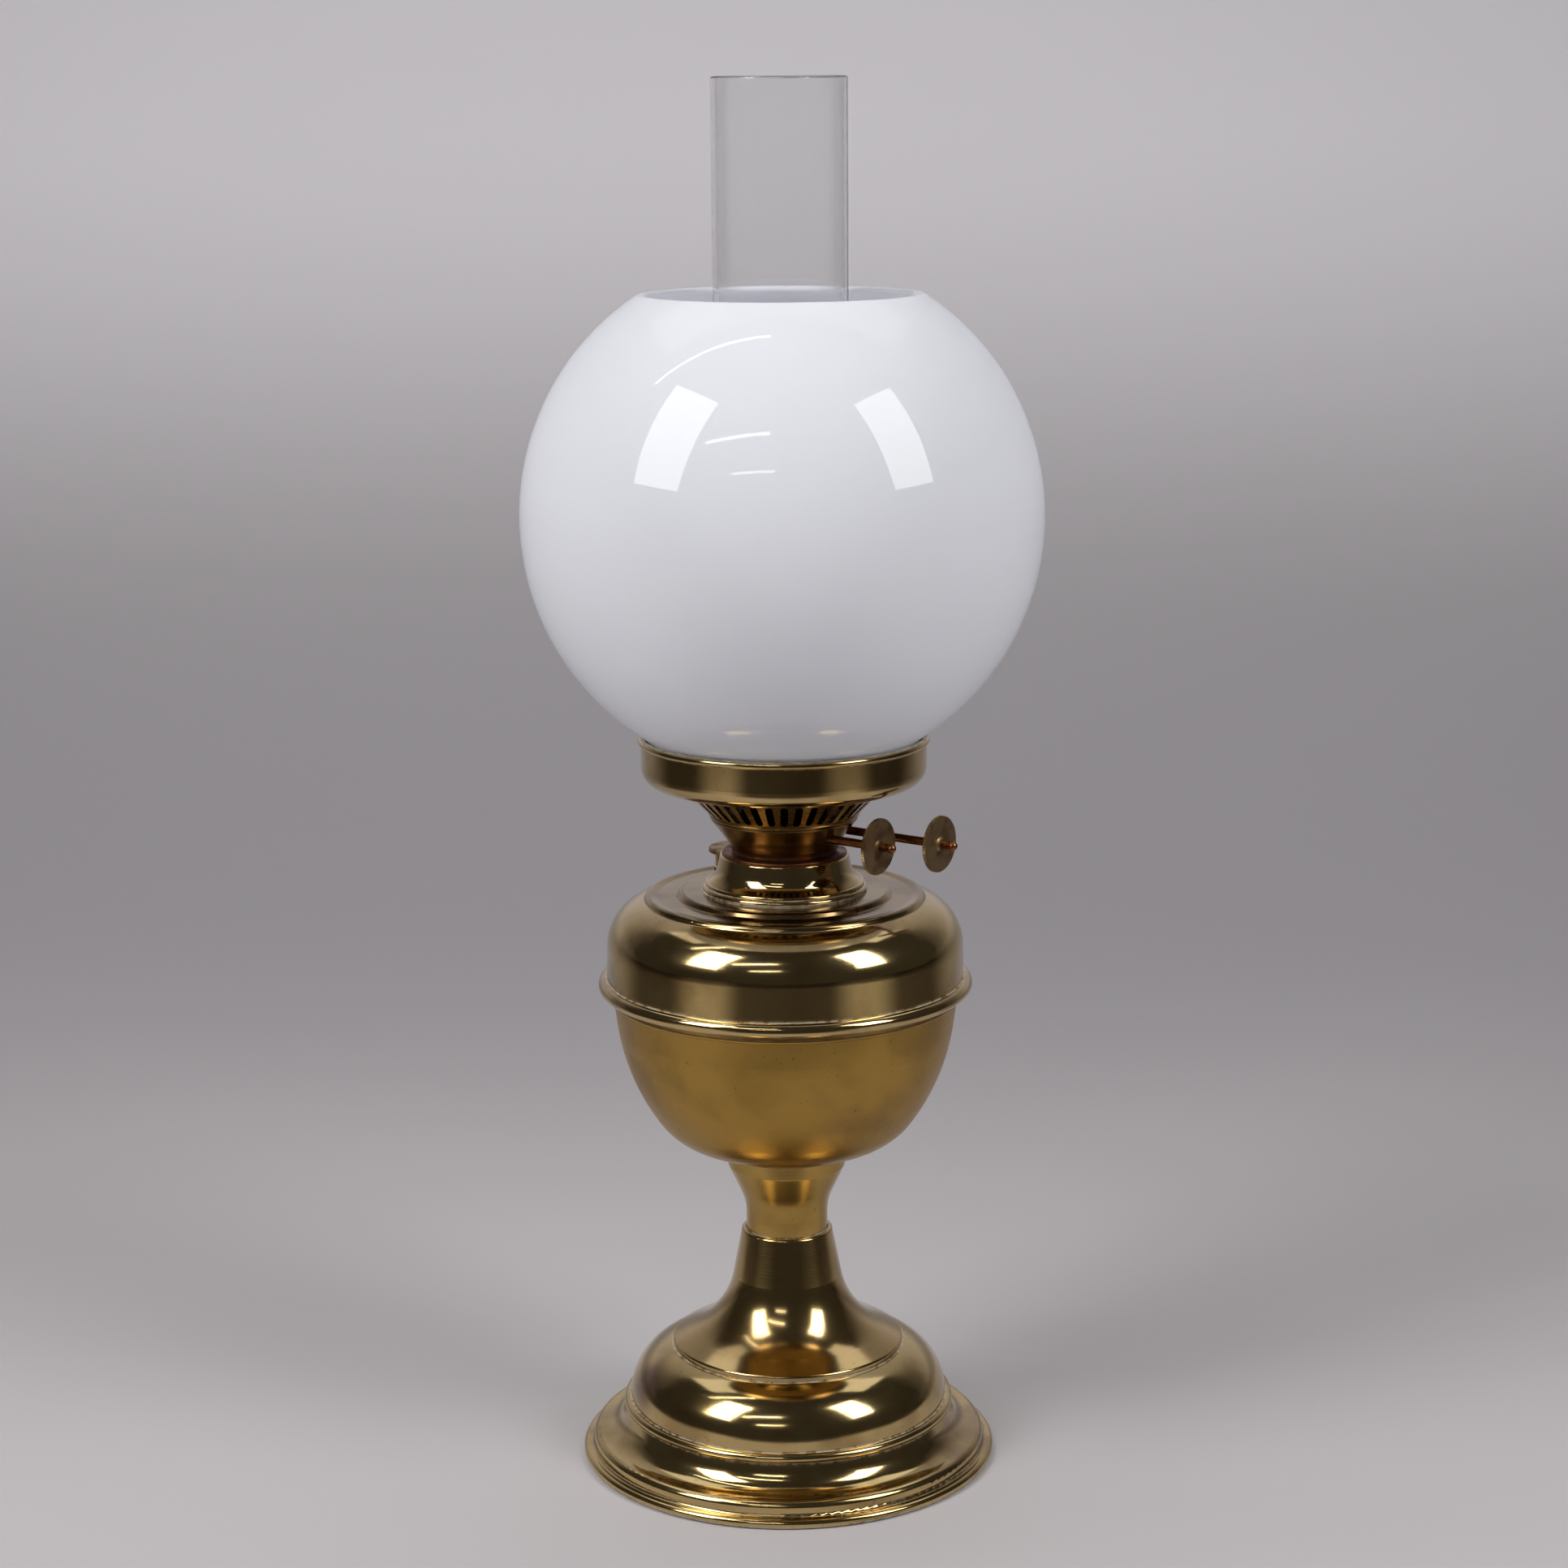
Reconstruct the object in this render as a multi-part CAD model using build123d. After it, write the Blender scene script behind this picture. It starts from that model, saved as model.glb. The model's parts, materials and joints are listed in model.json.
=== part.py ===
from build123d import *
import math
import os

# Twin-wick brass table oil lamp. Millimetres, +Z up, origin under the middle of the foot.

# Sheet, glass and fits
sheet_wall = 0.9            # spun brass of the foot, stem, font and gallery
thin_wall = 0.7             # spun brass of the burner
seat_gap = 0.3              # between pieces that lift apart
running_fit = 0.06          # radial, spindle in bush
fixed_fit = 0.02            # radial, between round pieces that are fixed together
flat_plate = 0.8            # stamped plates and flanges
fold_round = 1.0            # rounding at the folds of spun sheet
end_round = 0.48            # rounding of a flat slot's or tube's ends, as a share of its thickness
fillet_share = 0.98         # share of a side that the roundings at its two ends may take

# Foot
rim_radius = 78.9
rim_height = 3.6
rim_width = 5.1             # width of the rolled rim, which is what the lamp rests on
wall_inset = 3.9            # upright wall of the foot, inside the rim's edge
wall_root_round = 1.2       # where the wall leaves the rim
ridge_height = 8.8
ridge_round = 2.6
cove_width = 14.6           # from the wall to the ring
cove_depth = 0.6            # rise of the cove's floor above the ridge
cove_inset = 4.2            # cove's deepest line, outside the ring
cove_radius = 9.0
ring_low = 18.4
ring_height = 3.6
ring_proud = 2.7
dome_width = 15.5           # from the ring to the seam with the cone
dome_rise = 4.8             # how far the dome still climbs at the seam
dome_round = 20.6
foot_height = 42.6
foot_ledge = 7.0            # width of the ledge that the cone stands on

# Stem: cone, neck and the rod that clamps them
seam_step = 1.0
seam_bead = 2.2
cone_height = 46.0
cone_flare_width = 20.4     # from the cone's edge to the bend
cone_flare_rise = 10.9
cone_round = 31.0
lip_radius = 17.1           # cone's mouth
lip_round = 1.0             # where the cone's sheet folds in at its mouth
socket_depth = 2.1          # how far the neck drops into the cone's mouth
neck_radius = 15.4
neck_flare = 6.8
neck_height = 32.1
neck_bend_rise = 13.0       # height of the bend above the neck's seat
neck_round = 22.0
neck_band = 4.6             # straight band at the neck's top
rod_radius = 3.0
rod_clearance = 0.5
boss_radius = 11.0
boss_height = 12.0
thread_depth = 9.0
ballast_floor = 9.0         # height of the ballast's underside
ballast_gap = 3.0           # between the ballast and the foot's shell
ballast_waist = 9.0         # height of the ballast's straight side
washer_radius = 14.0
washer_thickness = 1.6
nut_across = 12.0
nut_height = 5.0
rod_end = 0.8               # rod that shows under the nut

# Font
bowl_height = 64.2
bowl_step = 2.4             # bowl's top is this much smaller than the dome
bowl_floor_width = 21.6     # from the neck to the lower bend
bowl_floor_rise = 8.1
bowl_side_width = 16.5      # from the lower bend to the upper one
bowl_side_rise = 23.3
bowl_low_round = 28.0
bowl_root_round = 4.0       # where the bowl leaves the neck
bowl_high_round = 86.0
flange_thickness = 1.2
flange_lap = 0.1            # bowl's flange beyond the dome's side
small_bead_height = 2.2
small_bead_proud = 0.8
seam_proud = 3.2
seam_height = 5.2
dome_height = 36.2          # from the seam to the flat of the font's top
shoulder_width = 14.4       # from the ring on top to the dome's side
shoulder_drop = 4.2         # from the ring's foot to the dome's shoulder
shoulder_round = 17.5
dome_lean = 0.6             # how far the dome's side leans in
top_ring_width = 5.0
top_ring_proud = 0.9        # ring above the flat
top_ring_drop = 1.5         # ring's outer foot below the flat
top_ring_lean = 0.6
top_ring_round = 2.2
platform_width = 8.0        # platform that the collar stands on, outside the collar
platform_slope = 1.6
platform_rise = 2.0
platform_round = 1.5

# Collar and burner mount
collar_height = 13.6
collar_wall = 1.6
collar_lean = 1.5           # how far the collar's side leans in
collar_flare = 4.8
collar_base = 3.6           # height of the two beads at the collar's base
collar_waist = 2.8          # height over which the collar narrows
collar_round = 7.0
low_bead_proud = 1.9
high_bead_proud = 0.9
low_bead_share = 2.1        # height of the lower bead
mount_width = 4.1
mount_depth = 7.0           # mount inside the collar
mount_flange = 1.2          # thickness of the flange that lies on the collar's lip
mount_step = 0.7            # flange inside the collar's side, and the rounding of the collar's lip
mount_round = 0.9

# Filler
filler_turn = 119.1         # degrees about +Z from +X
filler_radius = 7.5
filler_wall = 1.0
filler_flange = 0.6
filler_gap = 0.3
filler_height = 8.0
cap_radius = 10.0
cap_thickness = 1.8
cap_plug_length = 4.5
washer_cork = 0.6

# Wicks and wick tubes
wick_width = 25.0
wick_thickness = 2.4
wick_spacing = 16.0         # between the middles of the two wicks
wick_floor_gap = 10.6       # wick's lower end above the font's floor at rest
wick_tip = 1.2              # wick above its tube at rest
wick_clearance = 0.3
tube_wall = 0.5
tube_margin = 0.5           # tube's corners to the burner's spigot
tube_below = 6.0            # tubes below the burner's floor
tube_above = 20.3           # tubes above the gallery's floor

# Burner body
spigot_wall = 0.8
spigot_length = 6.2
base_bead_step = 1.4
base_bead_height = 1.9
base_bead_proud = 0.4
cup_flare = 8.1
cup_bulge = 2.0             # cup's side at its bend, outside its base
cup_bend = 4.7              # height of the bend
cup_round = 12.0
crease_height = 0.9
crease_proud = 0.5
cup_over_spur = 2.9         # crease above the spur wheels
basket_height = 12.5
basket_flare = 10.6
basket_round = 3.0
basket_flange = 2.6
slot_count = 40
slot_width = 2.8
slot_start = 1.6            # bottom of the slots above the crease
slot_length = 8.8
air_hole_radius = 1.6
air_hole_count = 10

# Winders
winder_turn = -36.0         # degrees about +Z from +X
spindle_rise = 7.7          # spindles above the burner mount
spindle_radius = 1.6
front_reach = 44.5          # front knob's inner face from the lamp's axis
rear_reach = 60.5
knob_radius = 10.4
knob_thickness = 1.2
hub_radius = 2.5
hub_length = 0.8
tip_length = 2.2
tip_groove = 0.5
tip_ball = 1.75
bush_wall = 0.8
bush_length = 4.0
spur_radius = 2.8
spur_depth = 0.6
spur_teeth = 10
spur_width = 2.5
spur_spread = 14.0          # between the two wheels of a spindle
window_margin = 0.6

# Gallery, chimney holder and flame cone
globe_neck_radius = 50.0
globe_side_gap = 2.0
gallery_depth = 17.9
gallery_round = 6.5
gallery_rim_height = 2.6
gallery_rim_proud = 1.2
cone_slot_margin = 2.3      # flame slot round a wick
flame_cone_height = 32.0
flame_cone_round = 17.0
flame_cone_crown = 11.5     # where the flame cone's crown begins to bend down
flame_cone_flange = 2.0
cone_to_chimney = 1.5       # flame cone's flange to the chimney's bore
prong_height = 13.0
prong_count = 16
prong_slit = 1.2
prong_length = 10.4         # free length of a prong above the uncut ring
prong_wall = 0.5

# Glass
chimney_radius = 24.5
chimney_base_radius = 31.0
chimney_bulge_radius = 36.0
chimney_wall = 2.0
chimney_length = 253.7
chimney_base_height = 14.0
bulge_rise = 22.0
bulge_height = 20.0
taper_height = 52.0
chimney_round = 30.0
globe_radius = 95.5
globe_wall = 3.0
globe_mouth_radius = 51.6
globe_rim_gap = 1.0         # globe to the gallery's rim
rim_share = 0.42            # rounding of a fire-polished glass rim, as a share of its wall


# Radii and heights that follow from the sizes above

# Wick tubes decide the burner's spigot, the spigot decides the collar, the collar decides the font's top.
tube_inner = wick_thickness + 2 * wick_clearance
tube_thickness = tube_inner + 2 * tube_wall
tube_inner_width = wick_width + 2 * wick_clearance
tube_width = tube_inner_width + 2 * tube_wall
spigot_bore = math.hypot(tube_width / 2, (wick_spacing + tube_thickness) / 2) + tube_margin
spigot_radius = spigot_bore + spigot_wall
mount_bore = spigot_radius + seat_gap
mount_radius = mount_bore + mount_width
collar_radius = mount_radius + collar_wall
mount_flange_radius = collar_radius - mount_step
collar_foot_radius = collar_radius + collar_flare
collar_flange_radius = collar_foot_radius + low_bead_proud
platform_radius = collar_flange_radius + platform_width
filler_flange_radius = filler_radius + filler_flange
filler_distance = collar_flange_radius + filler_gap + filler_flange_radius
top_ring_inner = filler_distance + filler_flange_radius + filler_gap
top_ring_radius = top_ring_inner + top_ring_width
dome_radius = top_ring_radius + shoulder_width
bowl_radius = dome_radius - bowl_step

rim_edge = rim_radius - rim_height / 2
foot_edge = rim_radius - wall_inset
foot_dome_radius = foot_edge - cove_width
seam_radius = foot_dome_radius - dome_width
cone_base_radius = seam_radius - seam_step
neck_top_radius = neck_radius + neck_flare
rod_hole = rod_radius + rod_clearance

cup_base_radius = spigot_radius + base_bead_step
cup_top_radius = cup_base_radius + cup_flare
basket_top_radius = cup_top_radius + basket_flare
gallery_inner = globe_neck_radius + globe_side_gap
gallery_radius = gallery_inner + sheet_wall
chimney_bore = chimney_base_radius - chimney_wall
holder_bore = chimney_base_radius + seat_gap
flame_cone_rim = chimney_bore - cone_to_chimney
flame_cone_radius = flame_cone_rim - flame_cone_flange
gallery_hole = flame_cone_radius - thin_wall

foot_top = foot_height
cone_top = foot_top + cone_height
neck_seat = cone_top - socket_depth
neck_top = neck_seat + neck_height
seam_level = neck_top + bowl_height
font_top = seam_level + dome_height
platform_top = font_top + platform_rise
collar_top = platform_top + collar_height
mount_top = collar_top + mount_flange
spindle_level = mount_top + spindle_rise
crease_level = spindle_level + spur_radius + cup_over_spur
gallery_floor = crease_level + basket_height
floor_top = gallery_floor + sheet_wall
gallery_top = gallery_floor + gallery_depth
spigot_floor = mount_top - spigot_length
tube_top = floor_top + tube_above
tube_bottom = spigot_floor - tube_below
chimney_seat = floor_top + flat_plate
wick_top = tube_top + wick_tip
wick_bottom = neck_top + sheet_wall + wick_floor_gap

spindle_offset = wick_thickness / 2 + seat_gap + spur_radius
front_wick_place = -wick_spacing / 2
rear_wick_place = wick_spacing / 2

along = Vector(math.cos(math.radians(winder_turn)), math.sin(math.radians(winder_turn)), 0)
across = Vector(-along.Y, along.X, 0)


# Shapes that are turned about an axis

def fillet_reaches(path):
    """How far each corner's rounding runs along its sides, less where two roundings share a short side."""
    sides = [Vector(b[0] - a[0], 0, b[1] - a[1]) for a, b in zip(path, path[1:])]
    half_turns = [0.0]
    for into, out in zip(sides, sides[1:]):
        half_turns.append(math.radians(into.get_angle(out)) / 2)
    half_turns.append(0.0)
    reaches = [corner[2] * math.tan(half) for corner, half in zip(path, half_turns)]
    limits = [1.0] * len(path)
    for i, side in enumerate(sides):
        room = fillet_share * side.length / max(reaches[i] + reaches[i + 1], 1e-6)
        limits[i] = min(limits[i], room)
        limits[i + 1] = min(limits[i + 1], room)
    return [(reach * limit, half) for reach, limit, half in zip(reaches, limits, half_turns)]


def edge_chain(path):
    """Edges through (r, z, radius) corners, each rounded by its radius where its two sides leave room."""
    points = [Vector(corner[0], 0, corner[1]) for corner in path]
    edges = []
    place = points[0]
    for i, (reach, half_turn) in enumerate(fillet_reaches(path)[1:-1], 1):
        into = (points[i] - points[i - 1]).normalized()
        out = (points[i + 1] - points[i]).normalized()
        start, finish = points[i] - into * reach, points[i] + out * reach
        edges.append(Line(place, start))
        if reach > 1e-3:
            radius = reach / math.tan(half_turn)
            middle = points[i] + (out - into).normalized() * radius * (1 / math.cos(half_turn) - 1)
            edges.append(ThreePointArc(start, middle, finish))
        place = finish
    edges.append(Line(place, points[-1]))
    return edges


def inner_path(path, wall):
    """The corners of a path moved to its left by a wall, with each radius kept concentric."""
    headings = [math.atan2(b[1] - a[1], b[0] - a[0]) for a, b in zip(path, path[1:])]
    moved = []
    for i, corner in enumerate(path):
        into = headings[max(i - 1, 0)]
        out = headings[min(i, len(headings) - 1)]
        turn = math.remainder(out - into, math.tau)
        middle = into + turn / 2
        reach = wall / math.cos(turn / 2)
        radius = max(corner[2] - math.copysign(wall, turn), 0) if corner[2] else 0
        moved.append((corner[0] - reach * math.sin(middle), corner[1] + reach * math.cos(middle), radius))
    return moved


def spun(path, wall):
    """A sheet spun to an outline: (r, z, radius) corners of the outer face, with its wall to the left."""
    outer = edge_chain(path)
    inner = edge_chain(inner_path(path, wall)[::-1])
    ends = [
        Line(outer[-1] @ 1, inner[0] @ 0),
        Line(inner[-1] @ 1, outer[0] @ 0),
    ]
    return revolve(make_face(outer + ends[:1] + inner + ends[1:]), Axis.Z)


def turned(outline):
    """A solid turned from a closed outline of (r, z) points; a third number bulges that side."""
    edges = []
    for before, point in zip([outline[-1], *outline[:-1]], outline):
        start = Vector(before[0], 0, before[1])
        finish = Vector(point[0], 0, point[1])
        if len(point) == 3:
            side = Vector(finish.Z - start.Z, 0, start.X - finish.X).normalized()
            edges.append(ThreePointArc(start, (start + finish) / 2 + side * point[2], finish))
        else:
            edges.append(Line(start, finish))
    return revolve(make_face(edges), Axis.Z)


def washer(inner, outer, low, high):
    return turned([(inner, low), (outer, low), (outer, high), (inner, high)])


def bead(radius, low, high, proud, root):
    """A round-edged ring that stands proud of a radius, rooted in the sheet behind it."""
    round_edge = min(proud, (high - low) / 2)
    edge = radius + proud - round_edge
    return turned([(radius - root, low), (edge, low), (edge, high, round_edge), (radius - root, high)])


# Foot and stem

def foot_shell():
    ring_high = ring_low + ring_height
    path = [
        (rim_edge, rim_height, 0),
        (foot_edge, rim_height, wall_root_round),
        (foot_edge, ridge_height, ridge_round),
        (foot_dome_radius + cove_inset, ridge_height + cove_depth, cove_radius),
        (foot_dome_radius, ring_low + ring_height / 2, fold_round),
        (foot_dome_radius, foot_top - dome_rise, dome_round),
        (seam_radius, foot_top, fold_round),
        (seam_radius - foot_ledge, foot_top, 0),
    ]
    rim = turned([
        (rim_radius - rim_width, 0),
        (rim_edge, 0),
        (rim_edge, rim_height, rim_height / 2),
        (rim_radius - rim_width, rim_height),
    ])
    ring = bead(foot_dome_radius, ring_low, ring_high, ring_proud, sheet_wall / 2)
    return spun(path, sheet_wall) + rim + ring


def foot_ballast():
    side = foot_dome_radius - sheet_wall - ballast_gap
    ceiling = foot_top - sheet_wall
    return turned([
        (rod_hole, ballast_floor),
        (side, ballast_floor),
        (side, ballast_floor + ballast_waist),
        (seam_radius - ballast_gap, ceiling),
        (rod_hole, ceiling),
    ])


def stem_cone():
    bend_radius = cone_base_radius - cone_flare_width
    path = [
        (cone_base_radius, foot_top, 0),
        (cone_base_radius, foot_top + seam_bead, fold_round),
        (bend_radius, foot_top + seam_bead + cone_flare_rise, cone_round),
        (lip_radius, cone_top, lip_round),
        (neck_radius + seat_gap, cone_top, 0),
    ]
    socket_edge = cone_top - sheet_wall / 2
    socket = turned([
        (rod_hole, neck_seat - sheet_wall),
        (lip_radius - sheet_wall / 2, neck_seat - sheet_wall),
        (lip_radius - sheet_wall / 2, socket_edge),
        (neck_radius + seat_gap, socket_edge),
        (neck_radius + seat_gap, neck_seat),
        (rod_hole, neck_seat),
    ])
    return spun(path, sheet_wall) + socket


def stem_neck():
    band = neck_top - neck_band
    path = [
        (neck_radius, neck_seat, 0),
        (neck_radius, neck_seat + neck_bend_rise, neck_round),
        (neck_top_radius, band, fold_round),
        (neck_top_radius, neck_top, 0),
    ]
    seat = washer(boss_radius + seat_gap, neck_top_radius - sheet_wall / 2, neck_top - flat_plate, neck_top)
    return spun(path, sheet_wall) + seat


def font_boss():
    bottom = neck_top - boss_height
    hole_top = bottom + thread_depth
    thread = rod_radius + fixed_fit
    return turned([
        (thread, bottom),
        (boss_radius, bottom),
        (boss_radius, neck_top),
        (0, neck_top),
        (0, hole_top),
        (thread, hole_top),
    ])


washer_low = ballast_floor - washer_thickness
nut_low = washer_low - nut_height


def tie_rod():
    return turned([
        (0, nut_low - rod_end),
        (rod_radius, nut_low - rod_end),
        (rod_radius, neck_top - boss_height + thread_depth),
        (0, neck_top - boss_height + thread_depth),
    ])


def tie_nut():
    hexagon = RegularPolygon(nut_across / 2, 6, major_radius=False) - Circle(rod_radius + fixed_fit)
    return extrude(Pos(0, 0, nut_low) * hexagon, nut_height)


# Font

def font_bowl():
    bend = neck_top_radius + bowl_floor_width
    path = [
        (0, neck_top, 0),
        (neck_top_radius, neck_top, bowl_root_round),
        (bend, neck_top + bowl_floor_rise, bowl_low_round),
        (bend + bowl_side_width, neck_top + bowl_floor_rise + bowl_side_rise, bowl_high_round),
        (bowl_radius, seam_level - flange_thickness - small_bead_height, 0),
        (bowl_radius, seam_level, 0),
    ]
    flange_low = seam_level - flange_thickness
    flange = washer(bowl_radius - sheet_wall / 2, dome_radius + flange_lap, flange_low, seam_level)
    bead_low = flange_low - small_bead_height
    small_bead = bead(bowl_radius, bead_low, flange_low, small_bead_proud, sheet_wall / 2)
    return spun(path, sheet_wall) + flange + small_bead


def dome_path():
    """The dome's outer face: side, shoulder, ring, flat, and the platform that the collar stands on."""
    ring_foot = font_top - top_ring_drop
    return [
        (dome_radius, seam_level, 0),
        (dome_radius, seam_level + seam_height, 0),
        (dome_radius - dome_lean, ring_foot - shoulder_drop, shoulder_round),
        (top_ring_radius, ring_foot, fold_round),
        (top_ring_radius - top_ring_lean, font_top + top_ring_proud, top_ring_round),
        (top_ring_inner, font_top, fold_round),
        (platform_radius + platform_slope, font_top, fold_round),
        (platform_radius, platform_top, platform_round),
        (mount_bore, platform_top, 0),
    ]


def font_dome():
    seam = bead(dome_radius, seam_level, seam_level + seam_height, seam_proud, sheet_wall / 2)
    through = 4 * (platform_rise + sheet_wall)
    hole = filler_location() * Cylinder(filler_radius - filler_wall, through)
    return spun(dome_path(), sheet_wall) + seam - hole


def filler_location():
    turn = math.radians(filler_turn)
    return Pos(filler_distance * math.cos(turn), filler_distance * math.sin(turn), font_top)


def font_collar():
    waist = platform_top + collar_base
    low_bead_top = platform_top + low_bead_share
    path = [
        (collar_foot_radius, platform_top, 0),
        (collar_foot_radius, waist, 0),
        (collar_radius + collar_lean, waist + collar_waist, collar_round),
        (collar_radius, collar_top, mount_step),
        (mount_radius, collar_top, 0),
        (mount_radius, platform_top, 0),
        (collar_foot_radius, platform_top, 0),
    ]
    low = bead(collar_foot_radius, platform_top, low_bead_top, low_bead_proud, sheet_wall)
    high = bead(collar_foot_radius, low_bead_top, waist, high_bead_proud, sheet_wall)
    return revolve(make_face(edge_chain(path)), Axis.Z) + low + high


def burner_mount():
    low = collar_top - mount_depth
    side = mount_radius - fixed_fit
    path = [
        (mount_bore, low, 0),
        (side, low, 0),
        (side, collar_top, 0),
        (mount_flange_radius, collar_top, 0),
        (mount_flange_radius, mount_top, mount_round),
        (mount_bore, mount_top, 0),
        (mount_bore, low, 0),
    ]
    return revolve(make_face(edge_chain(path)), Axis.Z)


def filler_neck():
    """A tube on a foot whose underside follows the font's stepped top."""
    bore = filler_radius - filler_wall
    tube = washer(bore, filler_radius, 0, filler_height)
    foot = washer(bore, filler_flange_radius, 0, platform_rise + flat_plate)
    font_filled = [(0, seam_level, 0), *dome_path(), (0, platform_top, 0), (0, seam_level, 0)]
    return filler_location() * (tube + foot) - revolve(make_face(edge_chain(font_filled)), Axis.Z)


def filler_cap():
    plug = filler_radius - filler_wall - seat_gap
    low = filler_height + washer_cork
    edge = cap_thickness / 4
    return filler_location() * turned([
        (0, low - cap_plug_length),
        (plug, low - cap_plug_length),
        (plug, low),
        (cap_radius, low),
        (cap_radius, low + cap_thickness - edge),
        (cap_radius - edge, low + cap_thickness),
        (0, low + cap_thickness),
    ])


def filler_washer():
    inner = filler_radius - filler_wall - seat_gap
    return filler_location() * washer(inner, filler_radius, filler_height, filler_height + washer_cork)


# Burner

def cup_path():
    return [
        (cup_base_radius, mount_top, 0),
        (cup_base_radius + cup_bulge, mount_top + cup_bend, cup_round),
        (cup_top_radius, crease_level - crease_height, fold_round),
        (cup_top_radius, crease_level, 0),
    ]


def burner_cup():
    base_top = mount_top + base_bead_height
    spigot = washer(spigot_bore, spigot_radius, spigot_floor, mount_top + spigot_wall)
    shoulder = washer(spigot_bore, cup_base_radius - thin_wall / 2, mount_top, mount_top + spigot_wall)
    base_bead = bead(cup_base_radius, mount_top, base_top, base_bead_proud, thin_wall / 2)
    cup = spun(cup_path(), thin_wall) + spigot + shoulder + base_bead
    return cup - [spindle_bore(place) for place in spindle_places()]


def spindle_places():
    return (front_wick_place + spindle_offset, rear_wick_place + spindle_offset)


def winder_plane(place, reach):
    """The plane square to a spindle, at a distance along it from the lamp's axis."""
    origin = along * reach + across * place + Vector(0, 0, spindle_level)
    return Plane(origin=origin, x_dir=(0, 0, 1), z_dir=along)


def spindle_bore(place):
    """The hole right across the cup that a spindle's two bushes fill."""
    across_cup = Cylinder(spindle_radius + running_fit + bush_wall, 4 * cup_top_radius)
    return winder_plane(place, 0).location * across_cup


def cup_chord(place):
    """Half the way across the cup at a spindle, just inside the cup's face."""
    climb = (spindle_rise - cup_bend) / (crease_level - crease_height - mount_top - cup_bend)
    radius = cup_base_radius + cup_bulge + (cup_flare - cup_bulge) * climb
    return math.sqrt((radius - thin_wall / 2) ** 2 - place ** 2)


def spindle_bushes(place):
    """Two sleeves in the cup's wall, trimmed flush with the cup's outer face."""
    sleeve = Circle(spindle_radius + running_fit + bush_wall) - Circle(spindle_radius + running_fit)
    inner_end = cup_chord(place) - bush_length
    length = cup_top_radius - inner_end
    cup_filled = [(0, mount_top, 0), *cup_path(), (0, crease_level, 0), (0, mount_top, 0)]
    within = revolve(make_face(edge_chain(cup_filled)), Axis.Z)
    right = extrude(winder_plane(place, inner_end) * sleeve, length) & within
    left = extrude(winder_plane(place, -cup_top_radius) * sleeve, length) & within
    return Compound(children=[right, left])


def air_basket():
    path = [
        (cup_top_radius, crease_level, 0),
        (cup_top_radius, crease_level + crease_height, basket_round),
        (basket_top_radius, gallery_floor - flat_plate, 0),
        (basket_top_radius, gallery_floor, 0),
    ]
    crease = bead(cup_top_radius, crease_level, crease_level + crease_height, crease_proud, thin_wall / 2)
    flange_inner = basket_top_radius - thin_wall / 2
    flange_outer = basket_top_radius + basket_flange
    flange = washer(flange_inner, flange_outer, gallery_floor - flat_plate, gallery_floor)
    outline = Pos(0, crease_level + slot_start + slot_length / 2) * RectangleRounded(
        slot_width, slot_length, slot_width * end_round
    )
    inside = spigot_bore
    slot = extrude(Plane.YZ.offset(inside) * outline, basket_top_radius - inside)
    slots = [Rot(0, 0, i * 360 / slot_count) * slot for i in range(slot_count)]
    return spun(path, thin_wall) + crease + flange - slots


def tube_plane(place, level):
    return Plane(origin=across * place + Vector(0, 0, level), x_dir=along, z_dir=(0, 0, 1))


def tube_section():
    return RectangleRounded(tube_width, tube_thickness, tube_thickness * end_round)


def wick_tube(place):
    bore = RectangleRounded(tube_inner_width, tube_inner, tube_inner * end_round)
    tube = extrude(tube_plane(place, tube_bottom) * (tube_section() - bore), tube_top - tube_bottom)
    window_width = spur_width + 2 * window_margin
    window_height = 2 * (spur_radius + window_margin)
    for side in (-1, 1):
        opening = Box(window_width, tube_inner, window_height)
        window = Pos(side * spur_spread / 2, tube_thickness / 2, 0) * opening
        tube -= tube_plane(place, spindle_level).location * window
    return tube


def plate_with_tubes(radius, level):
    plate = Pos(0, 0, level) * extrude(Circle(radius), flat_plate)
    for place in (front_wick_place, rear_wick_place):
        plate -= extrude(tube_plane(place, level) * tube_section(), flat_plate)
    return plate


def tube_plate():
    return plate_with_tubes(spigot_bore - fixed_fit, spigot_floor)


def air_plate():
    radius = cup_top_radius - thin_wall - fixed_fit
    plate = plate_with_tubes(radius, crease_level)
    ring = (radius + spigot_bore) / 2
    hole = Pos(ring, 0, crease_level) * Cylinder(air_hole_radius, 4 * flat_plate)
    plate -= [Rot(0, 0, (i + 0.5) * 360 / air_hole_count) * hole for i in range(air_hole_count)]
    return plate


def shade_gallery():
    path = [
        (gallery_hole, gallery_floor, 0),
        (gallery_radius, gallery_floor, gallery_round),
        (gallery_radius, gallery_top, 0),
    ]
    rim_low = gallery_top - gallery_rim_height
    rim = bead(gallery_radius, rim_low, gallery_top, gallery_rim_proud, sheet_wall / 2)
    return spun(path, sheet_wall) + rim


def chimney_holder():
    prong_top = chimney_seat + prong_height
    flange = washer(chimney_bore, holder_bore + prong_wall, floor_top, chimney_seat)
    prongs = washer(holder_bore, holder_bore + prong_wall, floor_top, prong_top)
    slit = Pos(holder_bore, 0, prong_top) * Box(6 * prong_wall, prong_slit, 2 * prong_length)
    return flange + prongs - [Rot(0, 0, i * 360 / prong_count) * slit for i in range(prong_count)]


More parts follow.
